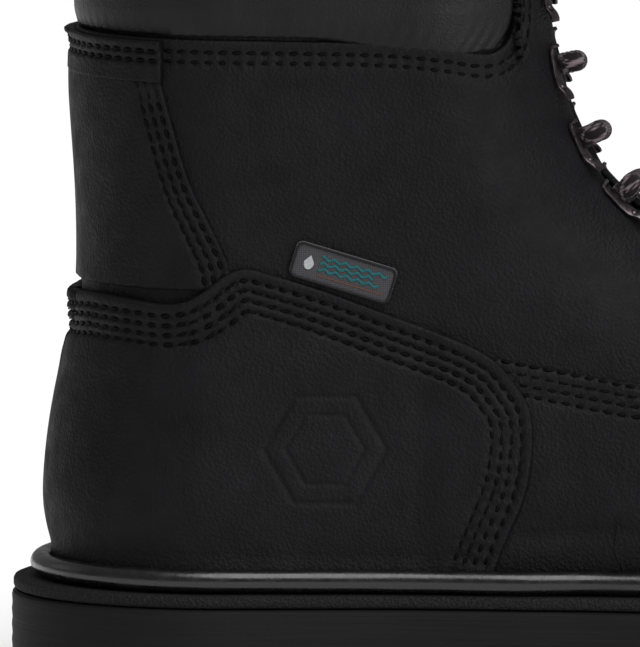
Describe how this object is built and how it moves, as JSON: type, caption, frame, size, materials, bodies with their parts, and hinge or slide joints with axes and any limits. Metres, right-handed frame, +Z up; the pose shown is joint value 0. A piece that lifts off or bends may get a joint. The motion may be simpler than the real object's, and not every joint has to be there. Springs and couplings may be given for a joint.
{
  "type": "work boot",
  "caption": "Right lace-up work boot with padded collar, steel toe cap inside, lugged rubber sole, hooks and a held tongue.",
  "frame": {"origin": "centre of the box round the boot, on the floor", "axes": "+X towards the toe, +Z up, -Y the outer (lateral) side of a right boot"},
  "size_m": [0.3099, 0.1169, 0.2033],
  "materials": {
    "ankle_lining": "brushed mesh",
    "back_band": "matte full-grain, fine grain",
    "backstay": "matte full-grain, fine grain",
    "collar_cover": "smooth padded leather, slight sheen",
    "collar_foam": "open foam",
    "counter_pocket": "matte full-grain, fine grain",
    "footbed": "fabric over foam",
    "heel_stiffener": "stiff fibre",
    "insole_board": "fibre board",
    "aglet_plastic": "shrunk plastic tip",
    "lace_braid": "round braid, dark with flecks",
    "hook_metal": "gunmetal, polished edges",
    "tie_braid": "flat band",
    "outsole": "matte, fine horizontal streaks",
    "quarter_leather": "matte full-grain, fine grain",
    "side_label": "woven tab with printed marks",
    "sole_plate": "stippled",
    "steel": "bare steel",
    "toe_cap_edge_strip": "soft strip",
    "tongue": "soft padded leather",
    "vamp": "matte full-grain, fine grain",
    "vamp_lining": "brushed mesh",
    "welt_bead": "glossy"
  },
  "bodies": {
    "boot": {"ankle_lining": "ankle_lining", "back_band": "back_band", "backstay": "backstay", "collar_cover": "collar_cover", "collar_foam": "collar_foam", "counter_pocket": "counter_pocket", "heel_stiffener": "heel_stiffener", "insole_board": "insole_board", "lace_aglet_lateral": "aglet_plastic", "lace_aglet_medial": "aglet_plastic", "lace_hank_lateral": "lace_braid", "lace_hank_medial": "lace_braid", "lace_hook_lateral_1": "hook_metal", "lace_hook_lateral_2": "hook_metal", "lace_hook_lateral_3": "hook_metal", "lace_hook_lateral_4": "hook_metal", "lace_hook_lateral_5": "hook_metal", "lace_hook_lateral_6": "hook_metal", "lace_hook_lateral_7": "hook_metal", "lace_hook_medial_1": "hook_metal", "lace_hook_medial_2": "hook_metal", "lace_hook_medial_3": "hook_metal", "lace_hook_medial_4": "hook_metal", "lace_hook_medial_5": "hook_metal", "lace_hook_medial_6": "hook_metal", "lace_hook_medial_7": "hook_metal", "lace_lead_lateral": "lace_braid", "lace_lead_medial": "lace_braid", "lace_run": "lace_braid", "lace_tie_lateral": "tie_braid", "lace_tie_medial": "tie_braid", "outsole": "outsole", "quarter_lateral": "quarter_leather", "quarter_medial": "quarter_leather", "side_label": "side_label", "sole_plate": "sole_plate", "steel_shank": "steel", "steel_toe_cap": "steel", "toe_cap_edge_strip": "toe_cap_edge_strip", "vamp": "vamp", "vamp_lining": "vamp_lining", "welt_bead": "welt_bead"},
    "tongue": {"tongue": "tongue"},
    "footbed": {"footbed": "footbed"}
  },
  "joints": [
    {"name": "tongue_bend", "type": "hinge", "parent": "boot", "child": "tongue", "pos_m": [0.048, 0, 0.0845], "axis": [0, -1, 0], "range_deg": [0, 8]},
    {"name": "footbed_lift", "type": "hinge", "parent": "boot", "child": "footbed", "pos_m": [0.139, 0, 0.0385], "axis": [0, 1, 0], "range_deg": [0, 7]}
  ]
}
